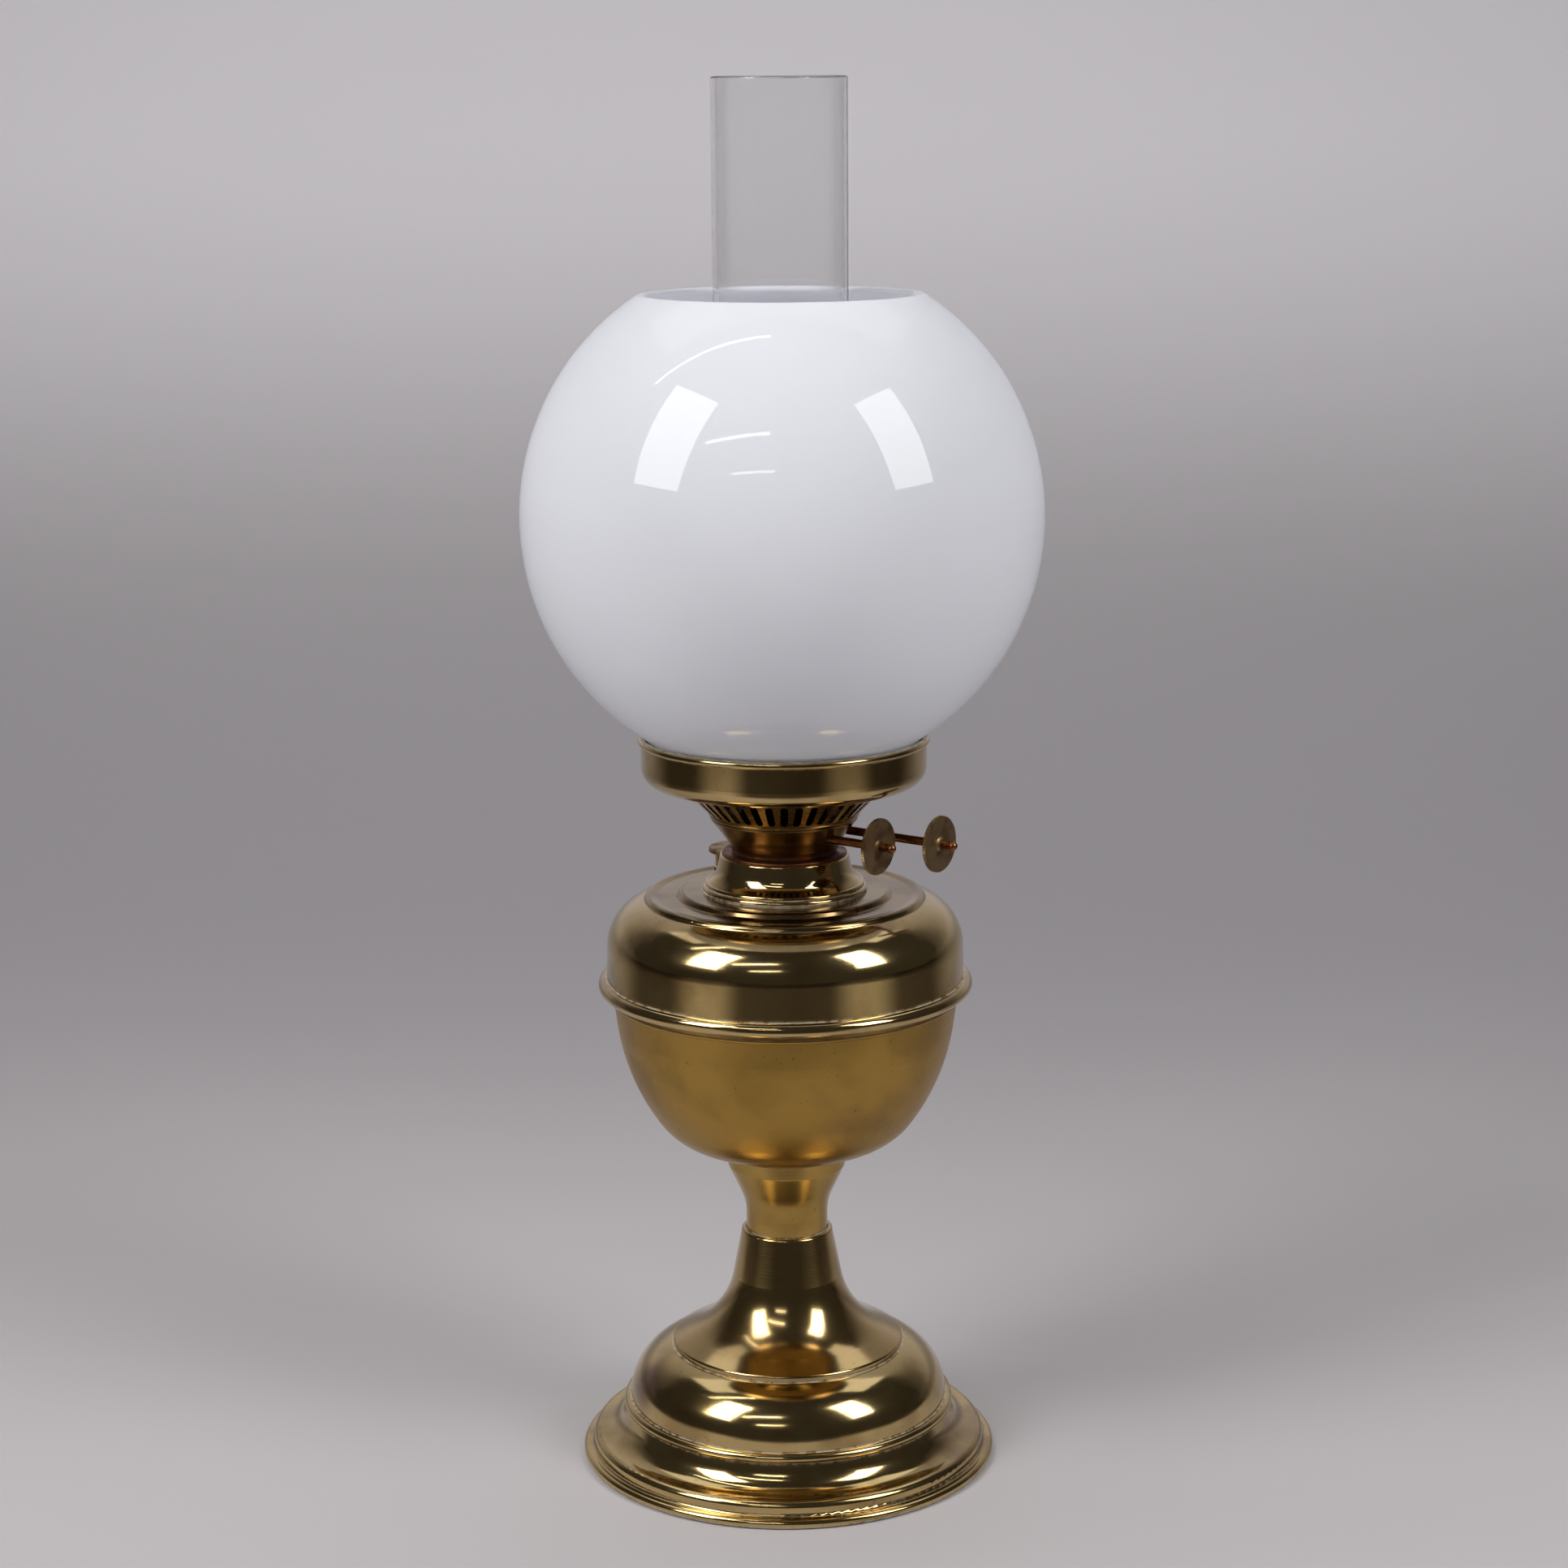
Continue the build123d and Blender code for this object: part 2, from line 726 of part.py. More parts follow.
def flame_cone():
    top = floor_top + flame_cone_height
    path = [
        (flame_cone_radius, floor_top, 0),
        (flame_cone_radius, top - flame_cone_round, flame_cone_round),
        (flame_cone_crown, top, flame_cone_round),
        (0, top, 0),
    ]
    cone = spun(path, thin_wall)
    cone += washer(flame_cone_radius - thin_wall / 2, flame_cone_rim, floor_top, floor_top + flat_plate)
    slot_long = tube_width + cone_slot_margin
    slot_wide = tube_thickness + cone_slot_margin
    for place in (front_wick_place, rear_wick_place):
        slot = tube_plane(place, floor_top + flame_cone_height / 2) * RectangleRounded(
            slot_long, slot_wide, slot_wide * end_round
        )
        cone -= extrude(slot, flame_cone_height)
    return cone


# Winders and wicks

def spindle(place, reach):
    end = cup_chord(place)
    tip = reach + knob_thickness + hub_length
    ball_low = tip + tip_length + tip_groove
    ball_neck = spindle_radius - tip_groove
    ball_top = ball_low + math.sqrt(tip_ball ** 2 - ball_neck ** 2) + tip_ball
    ball_bulge = tip_ball - math.sqrt(tip_ball ** 2 - ((ball_top - ball_low) ** 2 + ball_neck ** 2) / 4)
    return winder_plane(place, 0).location * turned([
        (0, -end),
        (spindle_radius, -end),
        (spindle_radius, tip + tip_length),
        (ball_neck, tip + tip_length),
        (ball_neck, ball_low),
        (0, ball_top, ball_bulge),
    ])


def knob(place, reach):
    disc = washer(spindle_radius, knob_radius, 0, knob_thickness)
    hub = washer(spindle_radius, hub_radius, 0, knob_thickness + hub_length)
    return winder_plane(place, reach).location * (disc + hub)


def spur_wheels(place):
    points = []
    for i in range(2 * spur_teeth):
        radius = spur_radius - spur_depth * (i % 2)
        turn = math.pi * i / spur_teeth
        points.append((radius * math.cos(turn), radius * math.sin(turn)))
    wheel = make_face(Polyline(*points, close=True)) - Circle(spindle_radius)
    wheels = []
    for side in (-1, 1):
        middle = side * spur_spread / 2
        wheels.append(extrude(winder_plane(place, middle - spur_width / 2) * wheel, spur_width))
    return Compound(children=wheels)


def wick(place):
    section = RectangleRounded(wick_width, wick_thickness, wick_thickness * end_round)
    return extrude(tube_plane(place, wick_bottom) * section, wick_top - wick_bottom)


# Glass

def polished_rim(glass, wall):
    """The glass with its top rim melted round."""
    return fillet(glass.edges().group_by(Axis.Z)[-1], wall * rim_share)


def chimney():
    base = chimney_seat + chimney_base_height
    bulge = base + bulge_rise
    top = chimney_seat + chimney_length
    path = [
        (chimney_base_radius, chimney_seat, 0),
        (chimney_base_radius, base, chimney_round),
        (chimney_bulge_radius, bulge, chimney_round),
        (chimney_bulge_radius, bulge + bulge_height, chimney_round),
        (chimney_radius, bulge + bulge_height + taper_height, chimney_round),
        (chimney_radius, top, 0),
    ]
    return polished_rim(spun(path, chimney_wall), chimney_wall)


def globe_shade():
    neck = globe_neck_radius
    rim_clear = gallery_inner - globe_rim_gap
    centre = gallery_top + math.sqrt(globe_radius ** 2 - rim_clear ** 2)
    corner = gallery_radius - gallery_round
    seat_radius = gallery_round - sheet_wall - seat_gap
    seat = gallery_floor + gallery_round - math.sqrt(seat_radius ** 2 - (neck - corner) ** 2)
    low = centre - math.sqrt(globe_radius ** 2 - neck ** 2)
    high = centre + math.sqrt(globe_radius ** 2 - globe_mouth_radius ** 2)
    inner_radius = globe_radius - globe_wall
    inner_neck = neck - globe_wall
    inner_low = centre - math.sqrt(inner_radius ** 2 - inner_neck ** 2)
    inner_mouth = math.sqrt(inner_radius ** 2 - (high - centre) ** 2)
    edges = [
        Line((neck, 0, seat), (neck, 0, low)),
        ThreePointArc((neck, 0, low), (globe_radius, 0, centre), (globe_mouth_radius, 0, high)),
        Line((globe_mouth_radius, 0, high), (inner_mouth, 0, high)),
        ThreePointArc((inner_mouth, 0, high), (inner_radius, 0, centre), (inner_neck, 0, inner_low)),
        Line((inner_neck, 0, inner_low), (inner_neck, 0, seat)),
        Line((inner_neck, 0, seat), (neck, 0, seat)),
    ]
    return polished_rim(revolve(make_face(edges), Axis.Z), globe_wall)


front_spindle_place, rear_spindle_place = spindle_places()
parts = {
    "foot_shell": foot_shell(),
    "foot_ballast": foot_ballast(),
    "stem_cone": stem_cone(),
    "stem_neck": stem_neck(),
    "tie_rod": tie_rod(),
    "tie_washer": washer(rod_hole, washer_radius, washer_low, ballast_floor),
    "tie_nut": tie_nut(),
    "font_boss": font_boss(),
    "font_bowl": font_bowl(),
    "font_dome": font_dome(),
    "font_collar": font_collar(),
    "burner_mount": burner_mount(),
    "filler_neck": filler_neck(),
    "filler_cap": filler_cap(),
    "filler_washer": filler_washer(),
    "burner_cup": burner_cup(),
    "air_basket": air_basket(),
    "tube_plate": tube_plate(),
    "air_plate": air_plate(),
    "front_wick_tube": wick_tube(front_wick_place),
    "rear_wick_tube": wick_tube(rear_wick_place),
    "front_spindle_bushes": spindle_bushes(front_spindle_place),
    "rear_spindle_bushes": spindle_bushes(rear_spindle_place),
    "shade_gallery": shade_gallery(),
    "chimney_holder": chimney_holder(),
    "flame_cone": flame_cone(),
    "front_spindle": spindle(front_spindle_place, front_reach),
    "rear_spindle": spindle(rear_spindle_place, rear_reach),
    "front_knob": knob(front_spindle_place, front_reach),
    "rear_knob": knob(rear_spindle_place, rear_reach),
    "front_spur_wheels": spur_wheels(front_spindle_place),
    "rear_spur_wheels": spur_wheels(rear_spindle_place),
    "front_wick": wick(front_wick_place),
    "rear_wick": wick(rear_wick_place),
    "chimney": chimney(),
    "globe_shade": globe_shade(),
}

os.makedirs("parts", exist_ok=True)
for node, shape in parts.items():
    export_step(shape, f"parts/{node}.step")
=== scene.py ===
import json
import math

import bmesh
import bpy
from mathutils import Matrix, Vector


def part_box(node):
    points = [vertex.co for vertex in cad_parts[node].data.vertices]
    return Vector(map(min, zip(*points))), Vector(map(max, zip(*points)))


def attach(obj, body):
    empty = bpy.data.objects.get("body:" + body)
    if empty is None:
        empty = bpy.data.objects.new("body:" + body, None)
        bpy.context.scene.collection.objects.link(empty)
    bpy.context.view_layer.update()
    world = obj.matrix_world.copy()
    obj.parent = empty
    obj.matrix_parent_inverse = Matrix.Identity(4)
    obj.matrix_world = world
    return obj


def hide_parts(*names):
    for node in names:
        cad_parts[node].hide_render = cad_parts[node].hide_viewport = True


# Looks of a twin-wick brass table oil lamp. Metres, +Z up, the lamp's front towards -Y.

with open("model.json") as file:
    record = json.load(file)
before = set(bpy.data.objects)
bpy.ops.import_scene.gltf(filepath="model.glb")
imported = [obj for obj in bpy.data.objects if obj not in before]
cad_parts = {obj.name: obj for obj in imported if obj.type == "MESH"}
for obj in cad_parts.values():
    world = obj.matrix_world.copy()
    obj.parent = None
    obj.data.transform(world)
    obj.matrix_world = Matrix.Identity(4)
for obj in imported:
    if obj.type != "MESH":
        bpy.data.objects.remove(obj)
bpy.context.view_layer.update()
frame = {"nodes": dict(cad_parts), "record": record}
nodes = frame["nodes"]


# Shader building blocks

def paint(code):
    """A colour from its sRGB hex code, as the linear values that shaders take."""
    channels = [int(code[i:i + 2], 16) / 255 for i in (1, 3, 5)]
    return [c / 12.92 if c <= 0.04045 else ((c + 0.055) / 1.055) ** 2.4 for c in channels] + [1.0]


def add(tree, kind, inputs=None, **settings):
    """A node with its settings. Each input, by name or number, is linked to a node or socket, or set to a value."""
    made = tree.nodes.new(kind)
    for name, value in settings.items():
        setattr(made, name, value)
    for key, value in (inputs or {}).items():
        if isinstance(value, bpy.types.Node):
            value = next(socket for socket in value.outputs if socket.enabled)
        if isinstance(value, bpy.types.NodeSocket):
            tree.links.new(value, made.inputs[key])
        else:
            made.inputs[key].default_value = value
    return made


MATH, VECTOR, MIX, RANGE = "ShaderNodeMath", "ShaderNodeVectorMath", "ShaderNodeMix", "ShaderNodeMapRange"
NOISE, BUMP, SURFACE = "ShaderNodeTexNoise", "ShaderNodeBump", "ShaderNodeBsdfPrincipled"
EASED = {"interpolation_type": "SMOOTHSTEP"}    # a range held at both ends and eased between them
COLOURS = {"data_type": "RGBA"}                 # a mix of two colours: 0 is the share, 6 and 7 the colours
TIMES = {"operation": "MULTIPLY"}


def blank(name):
    """A new material's node tree, emptied, and the place on the object in metres."""
    made = bpy.data.materials.new(name)
    made.use_nodes = True
    made.node_tree.nodes.clear()
    return made, made.node_tree, add(made.node_tree, "ShaderNodeTexCoord").outputs["Object"]


def finished(material, shader):
    add(material.node_tree, "ShaderNodeOutputMaterial", {"Surface": shader})
    return material


# Materials

def spun_brass(name, clean, aged, roughness, streak, clouds, chalk, lacquer, anisotropy=0.0, dull=None, stain=None):
    """Brass spun on a lathe: turning marks round the axis, tarnish, small pits and dried polish in the folds.

    dull is two heights: the metal is bright at the first and dull brown at the second. stain is a spot and its
    radius, where heat has left a purple-brown bloom.
    """
    material, tree, place = blank(name)
    flat = add(tree, VECTOR, {0: place, 1: (1, 1, 0)}, operation="MULTIPLY")
    radius = add(tree, VECTOR, {0: flat}, operation="LENGTH")
    height = add(tree, "ShaderNodeSeparateXYZ", {0: place}).outputs["Z"]
    lathe = add(tree, "ShaderNodeCombineXYZ", {0: radius, 1: height})
    marks = add(tree, NOISE, {"Vector": lathe, "Scale": 1 / 0.0005, "Detail": 3.0}, noise_dimensions="2D")
    bands = add(tree, NOISE, {"Vector": lathe, "Scale": 1 / 0.007, "Detail": 1.0}, noise_dimensions="2D")
    drift = add(tree, NOISE, {"Vector": place, "Scale": 1 / 0.028, "Detail": 5.0})
    bloom = add(tree, NOISE, {"Vector": place, "Scale": 1 / 0.045, "Detail": 3.0})
    specks = add(tree, NOISE, {"Vector": place, "Scale": 1 / 0.0016, "Detail": 1.0})
    cloud = add(tree, RANGE, {0: drift, 1: 0.46, 2: 0.68}, **EASED)
    bruise = add(tree, RANGE, {0: bloom, 1: 0.60, 2: 0.72}, **EASED)
    pits = add(tree, RANGE, {0: specks, 1: 0.72, 2: 0.78, 4: 0.4}, **EASED)
    worn = add(tree, MATH, {0: cloud, 1: clouds}, **TIMES)
    bruised = add(tree, MATH, {0: bruise, 1: clouds * 0.7}, **TIMES)
    colour = add(tree, MIX, {0: worn, 6: paint(clean), 7: paint(aged)}, **COLOURS)
    colour = add(tree, MIX, {0: bruised, 6: colour, 7: paint("#6E5648")}, **COLOURS)
    colour = add(tree, MIX, {0: pits, 6: colour, 7: paint("#3A2A16")}, **COLOURS)
    if dull:
        uneven = add(tree, RANGE, {0: drift, 1: 0.35, 2: 0.65, 3: 0.55, 4: 0.9}, **EASED)
        reach = add(tree, RANGE, {0: height, 1: dull[0], 2: dull[1]}, **EASED)
        dulled = add(tree, MATH, {0: reach, 1: uneven}, **TIMES)
        colour = add(tree, MIX, {0: dulled, 6: colour, 7: paint("#6E5636")}, **COLOURS)
        worn = add(tree, MATH, {0: worn, 1: dulled}, operation="MAXIMUM")
    if stain:
        away = add(tree, VECTOR, {0: place, 1: stain[0]}, operation="DISTANCE")
        ragged = add(tree, MATH, {0: bloom, 1: stain[1], 2: away}, operation="MULTIPLY_ADD")
        spot = add(tree, RANGE, {0: ragged, 1: stain[1] * 1.5, 2: stain[1] * 0.7, 4: 0.75}, **EASED)
        colour = add(tree, MIX, {0: spot, 6: colour, 7: paint("#6A4A44")}, **COLOURS)
    turned = add(tree, MATH, {0: marks, 1: streak, 2: roughness - streak / 2}, operation="MULTIPLY_ADD")
    banded = add(tree, MATH, {0: bands, 1: streak * 0.5, 2: turned}, operation="MULTIPLY_ADD")
    rough = add(tree, MATH, {0: worn, 1: 0.06, 2: banded}, operation="MULTIPLY_ADD")
    fold = add(tree, "ShaderNodeAmbientOcclusion", {"Distance": 0.0026}, samples=8).outputs["AO"]
    crumbled = add(tree, NOISE, {"Vector": place, "Scale": 1 / 0.003, "Detail": 3.0})
    crumbs = add(tree, RANGE, {0: crumbled, 1: 0.36, 2: 0.60, 3: chalk * 0.35, 4: chalk}, **EASED)
    deep = add(tree, RANGE, {0: fold, 1: 0.78, 2: 0.50}, **EASED)
    dried = add(tree, MATH, {0: deep, 1: crumbs}, **TIMES)
    chalky = add(tree, MATH, {0: dried, 1: 0.8}, **TIMES)
    colour = add(tree, MIX, {0: dried, 6: colour, 7: paint("#C8C1B3")}, **COLOURS)
    shader = add(tree, SURFACE, {
        "Base Color": colour,
        "Metallic": add(tree, MATH, {0: 1.0, 1: dried}, operation="SUBTRACT"),
        "Roughness": add(tree, MATH, {0: rough, 1: chalky}, operation="MAXIMUM"),
        "Anisotropic": anisotropy,
        "Tangent": add(tree, "ShaderNodeTangent", direction_type="RADIAL", axis="Z"),
        "Coat Weight": lacquer,
        "Coat Roughness": 0.10,
        "Normal": add(tree, BUMP, {"Strength": 0.25, "Distance": 0.00002, "Height": marks}),
    })
    return finished(material, shader)


def plain_metal(name, clean, aged, roughness, grain, size):
    """Drawn, stamped or cast metal with a fine grain of its own and patches of age."""
    material, tree, place = blank(name)
    fine = add(tree, NOISE, {"Vector": place, "Scale": 1 / size, "Detail": 3.0})
    broad = add(tree, NOISE, {"Vector": place, "Scale": 1 / (size * 9), "Detail": 4.0})
    patch = add(tree, RANGE, {0: broad, 1: 0.40, 2: 0.66}, **EASED)
    shader = add(tree, SURFACE, {
        "Base Color": add(tree, MIX, {0: patch, 6: paint(clean), 7: paint(aged)}, **COLOURS),
        "Metallic": 1.0,
        "Roughness": add(tree, MATH, {0: patch, 1: 0.15, 2: roughness}, operation="MULTIPLY_ADD"),
        "Normal": add(tree, BUMP, {"Strength": grain, "Distance": size * 0.3, "Height": fine}),
    })
    return finished(material, shader)


def opal_glass():
    """Blown opal glass, 3 mm thick: white through and through, glossy, letting some light pass."""
    material, tree, place = blank("opal_glass_blown")
    ripple = add(tree, NOISE, {"Vector": place, "Scale": 1 / 0.05, "Detail": 1.0})
    body = add(tree, SURFACE, {
        "Base Color": paint("#F9FAFD"),
        "Roughness": 0.03,
        "IOR": 1.5,
        "Normal": add(tree, BUMP, {"Strength": 0.05, "Distance": 0.0004, "Height": ripple}),
    })
    through = add(tree, "ShaderNodeBsdfTranslucent", {"Color": paint("#F9FAFD")})
    return finished(material, add(tree, "ShaderNodeMixShader", {0: 0.46, 1: body, 2: through}))


def clear_glass():
    """Blown clear glass tube, 2 mm thick, fire-polished at the rim."""
    material, tree, place = blank("clear_glass_blown")
    ripple = add(tree, NOISE, {"Vector": place, "Scale": 1 / 0.03, "Detail": 1.0})
    shader = add(tree, SURFACE, {
        "Base Color": paint("#FAFAFB"),
        "Roughness": 0.0,
        "IOR": 1.47,
        "Transmission Weight": 1.0,
        "Normal": add(tree, BUMP, {"Strength": 0.04, "Distance": 0.0002, "Height": ripple}),
    })
    return finished(material, shader)


def wick_cotton(turn):
    """Flat woven cotton tape: ribs across, warp along, scorched at the top where it burns."""
    material, tree, place = blank("cotton_tape_woven")
    flat = add(tree, "ShaderNodeVectorRotate", {"Vector": place, "Angle": -turn}, rotation_type="Z_AXIS")
    rib, warp = (
        add(tree, "ShaderNodeTexWave", {"Vector": flat, "Scale": 1 / size, "Distortion": 0.4}, bands_direction=axis)
        for size, axis in ((0.0055, "Z"), (0.0075, "X"))
    )
    weave = add(tree, MATH, {0: rib, 1: warp}, **TIMES)
    height = add(tree, "ShaderNodeSeparateXYZ", {0: place}).outputs["Z"]
    fray = add(tree, NOISE, {"Vector": place, "Scale": 1 / 0.002})
    ragged = add(tree, MATH, {0: fray, 1: 0.003, 2: height}, operation="MULTIPLY_ADD")
    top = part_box("front_wick")[1].z
    scorch = add(tree, RANGE, {0: ragged, 1: top - 0.0035, 2: top + 0.0005}, **EASED)
    raised = add(tree, RANGE, {0: weave, 1: 0.0, 2: 0.7}, **EASED)
    colour = add(tree, MIX, {0: raised, 6: paint("#A89C82"), 7: paint("#DDD3BD")}, **COLOURS)
    shader = add(tree, SURFACE, {
        "Base Color": add(tree, MIX, {0: scorch, 6: colour, 7: paint("#2A2019")}, **COLOURS),
        "Roughness": 0.95,
        "Sheen Weight": 0.3,
        "Normal": add(tree, BUMP, {"Strength": 0.8, "Distance": 0.0002, "Height": weave}),
    })
    return finished(material, shader)


def cork():
    """Pressed cork washer with darker grains."""
    material, tree, place = blank("cork_pressed")
    grains = add(tree, "ShaderNodeTexVoronoi", {"Vector": place, "Scale": 1 / 0.0011})
    pale = add(tree, RANGE, {0: grains, 1: 0.1, 2: 0.7}, **EASED)
    shader = add(tree, SURFACE, {
        "Base Color": add(tree, MIX, {0: pale, 6: paint("#6E4B2C"), 7: paint("#A87C50")}, **COLOURS),
        "Roughness": 0.9,
    })
    return finished(material, shader)


winder_axis = next(j["axis"] for j in frame["record"]["behaviour"]["joints"] if j["name"] == "front_winder_turn")
along = -Vector(winder_axis)
winder_turn = math.atan2(along.y, along.x)

looks = {
    "polished_brass": spun_brass(
        "brass_spun_polished", "#C6AC76", "#94794A",
        roughness=0.075, streak=0.05, clouds=0.5, chalk=0.9, lacquer=0.3),
    "half_polished_brass": spun_brass(
        "brass_spun_half_polished", "#B89650", "#86683A",
        roughness=0.23, streak=0.05, clouds=0.5, chalk=0.9, lacquer=0.1),
    "satin_brass": spun_brass(
        "brass_spun_satin", "#B08C46", "#8A6C36",
        roughness=0.28, streak=0.14, clouds=0.5, chalk=0.7, lacquer=0.0, anisotropy=0.4),
    "burner_brass": spun_brass(
        "brass_stamped_heat_browned", "#86693F", "#58432A",
        roughness=0.22, streak=0.10, clouds=0.7, chalk=0.2, lacquer=0.0),
    # Partly real soot and partly painted shade: pieces in this slot are drawn near black so that they read dark
    # through the burner's slots.
    "sooty_brass": plain_metal("brass_stamped_sooty_and_painted_shade", "#3E2E1C", "#1E1610", roughness=0.50, grain=0.2, size=0.0009),
    "dark_brass": plain_metal(
        "brass_turned_dark_lacquer", "#784A2E", "#4C2D18", roughness=0.35, grain=0.1, size=0.0008),
    "copper_brass": plain_metal("rod_drawn_browned", "#8A5A38", "#5C3A22", roughness=0.30, grain=0.1, size=0.0006),
    "knob_bronze": plain_metal(
        "disc_stamped_dulled", "#A48A64", "#6C553C", roughness=0.42, grain=0.25, size=0.0007),
    "plain_steel": plain_metal("steel_plain", "#8E8C88", "#6A6764", roughness=0.38, grain=0.1, size=0.0006),
    "ballast_iron": plain_metal("iron_rough_cast", "#3A3937", "#2A221C", roughness=0.65, grain=0.6, size=0.0016),
    "cork": cork(),
    "wick_cotton": wick_cotton(winder_turn),
    "clear_glass": clear_glass(),
    "opal_glass": opal_glass(),
}
# The same brass where wear has left it less bright: buffed foot and cone, brushed font, browned air basket
platform_rise = 0.0020
flat_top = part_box("font_collar")[0].z - platform_rise
worn_looks = {
    "foot_shell": spun_brass(
        "brass_spun_buffed_foot", "#C8AE76", "#8F7446",
        roughness=0.10, streak=0.05, clouds=0.6, chalk=0.95, lacquer=0.2, stain=((-0.053, -0.020, 0.033), 0.014)),
    "stem_cone": spun_brass(
        "brass_spun_buffed_cone", "#BEA26C", "#8C7144",
        roughness=0.125, streak=0.06, clouds=0.55, chalk=0.95, lacquer=0.2),
    "font_dome": spun_brass(
        "brass_spun_brushed", "#C8AE78", "#8C7044",
        roughness=0.095, streak=0.06, clouds=0.6, chalk=0.95, lacquer=0.2,
        dull=(flat_top - 0.0016, flat_top - 0.0004)),
    "air_basket": spun_brass(
        "brass_stamped_browned", "#A8884E", "#745A34",
        roughness=0.24, streak=0.10, clouds=0.7, chalk=0.2, lacquer=0.0),
}
for subpart in frame["record"]["subparts"]:
    mesh = nodes[subpart["node"]].data
    mesh.materials.clear()
    mesh.materials.append(worn_looks.get(subpart["node"], looks[subpart["material_slot"]]))


# Pieces that are finer than their solids

def milled_disc_group():
    """Geometry nodes for a flat disc with a milled edge, lying on its own XY plane."""
    group = bpy.data.node_groups.new("milled_disc", "GeometryNodeTree")
    for label, kind, value in (
        ("Radius", "NodeSocketFloat", 0.01),
        ("Thickness", "NodeSocketFloat", 0.001),
        ("Edge teeth", "NodeSocketInt", 70),
        ("Tooth depth", "NodeSocketFloat", 0.0003),
        ("Finish", "NodeSocketMaterial", None),
    ):
        socket = group.interface.new_socket(label, in_out="INPUT", socket_type=kind)
        if value is not None:
            socket.default_value = value
    group.interface.new_socket("Disc", in_out="OUTPUT", socket_type="NodeSocketGeometry")
    given = add(group, "NodeGroupInput").outputs
    corners = add(group, MATH, {0: given["Edge teeth"], 1: 2.0}, **TIMES)
    disc = {"Vertices": corners, "Radius": given["Radius"]}
    circle = add(group, "GeometryNodeMeshCircle", disc, fill_type="NGON")
    odd = add(group, MATH, {0: add(group, "GeometryNodeInputIndex"), 1: 2.0}, operation="MODULO")
    share = add(group, MATH, {0: given["Tooth depth"], 1: given["Radius"]}, operation="DIVIDE")
    cut = add(group, MATH, {0: odd, 1: share}, **TIMES)
    inward = add(group, MATH, {0: cut, 1: -1.0}, **TIMES)
    shift = add(group, VECTOR, {0: add(group, "GeometryNodeInputPosition"), "Scale": inward}, operation="SCALE")
    toothed = add(group, "GeometryNodeSetPosition", {"Geometry": circle, "Offset": shift})
    raised = add(group, "GeometryNodeExtrudeMesh", {
        "Mesh": toothed,
        "Offset Scale": given["Thickness"],
        "Individual": False,
    })
    under = add(group, "GeometryNodeFlipFaces", {"Mesh": toothed})
    both = add(group, "GeometryNodeJoinGeometry")
    for side in (raised, under):
        group.links.new(side.outputs[0], both.inputs[0])
    closed = add(group, "GeometryNodeMergeByDistance", {"Geometry": both, "Distance": 0.00002})
    real = add(group, "GeometryNodeRealizeInstances", {0: closed})
    done = add(group, "GeometryNodeSetMaterial", {"Geometry": real, "Material": given["Finish"]})
    add(group, "NodeGroupOutput", {0: done})
    return group


def grown(name, group, **inputs):
    """A mesh object grown by a geometry node group with these named inputs."""
    seed = bpy.data.objects.new(name + "_seed", bpy.data.meshes.new(name + "_seed"))
    bpy.context.collection.objects.link(seed)
    modifier = seed.modifiers.new("grow", "NODES")
    modifier.node_group = group
    for item in group.interface.items_tree:
        if item.in_out == "INPUT" and item.name in inputs:
            modifier[item.identifier] = inputs[item.name]
    bpy.context.view_layer.update()
    mesh = bpy.data.meshes.new_from_object(seed.evaluated_get(bpy.context.evaluated_depsgraph_get()))
    bpy.data.objects.remove(seed)
    return new_piece(name, mesh)


def new_piece(name, mesh):
    made = bpy.data.objects.new(name, mesh)
    bpy.context.collection.objects.link(made)
    return made


def middle_of(node):
    low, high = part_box(node)
    return (low + high) / 2


disc_group = milled_disc_group()


def knob_piece(side):
    """A thin stamped disc with a milled edge and a turned hub, square to its spindle."""
    low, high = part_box(side + "_knob")
    thickness, hub_length, hub_radius, bore, chamfer = 0.0012, 0.0008, 0.0025, 0.00155, 0.0003
    sunk = thickness - 0.0001
    radius = (high.z - low.z) / 2
    piece = grown(side + "_milled_knob", disc_group, **{
        "Radius": radius,
        "Thickness": thickness,
        "Edge teeth": 84,
        "Tooth depth": 0.00028,
        "Finish": looks["knob_bronze"],
    })
    ring = lathe_mesh([
        (bore, sunk), (hub_radius + 0.0004, sunk), (hub_radius, thickness + chamfer),
        (hub_radius - chamfer, thickness + hub_length), (bore, thickness + hub_length),
    ], 40)
    join_mesh(piece.data, ring, looks["knob_bronze"])
    origin = (low + high) / 2 - along * (thickness + hub_length) / 2
    upright = Matrix((Vector((0, 0, 1)), Vector((along.y, -along.x, 0)), along)).transposed().to_4x4()
    piece.data.transform(Matrix.Translation(origin) @ upright)
    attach(piece, side + "_winder")
    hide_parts(side + "_knob")


def lathe_mesh(outline, steps):
    """A ring turned about Z from a closed outline of (r, z), counterclockwise as seen with r to the right."""
    verts, faces, count = [], [], len(outline)
    for i in range(steps):
        turn = math.tau * i / steps
        verts += [(r * math.cos(turn), r * math.sin(turn), z) for r, z in outline]
    for i in range(steps):
        here, there = i * count, (i + 1) % steps * count
        for j in range(count):
            k = (j + 1) % count
            faces.append((here + j, there + j, there + k, here + k))
    mesh = bpy.data.meshes.new("ring")
    mesh.from_pydata(verts, [], faces)
    return mesh


def join_mesh(mesh, other, finish):
    """Adds another mesh's faces to a mesh, all in one finish."""
    work = bmesh.new()
    work.from_mesh(mesh)
    work.from_mesh(other)
    for face in work.faces:
        face.material_index = 0
    work.to_mesh(mesh)
    work.free()
    mesh.materials.clear()
    mesh.materials.append(finish)
    bpy.data.meshes.remove(other)


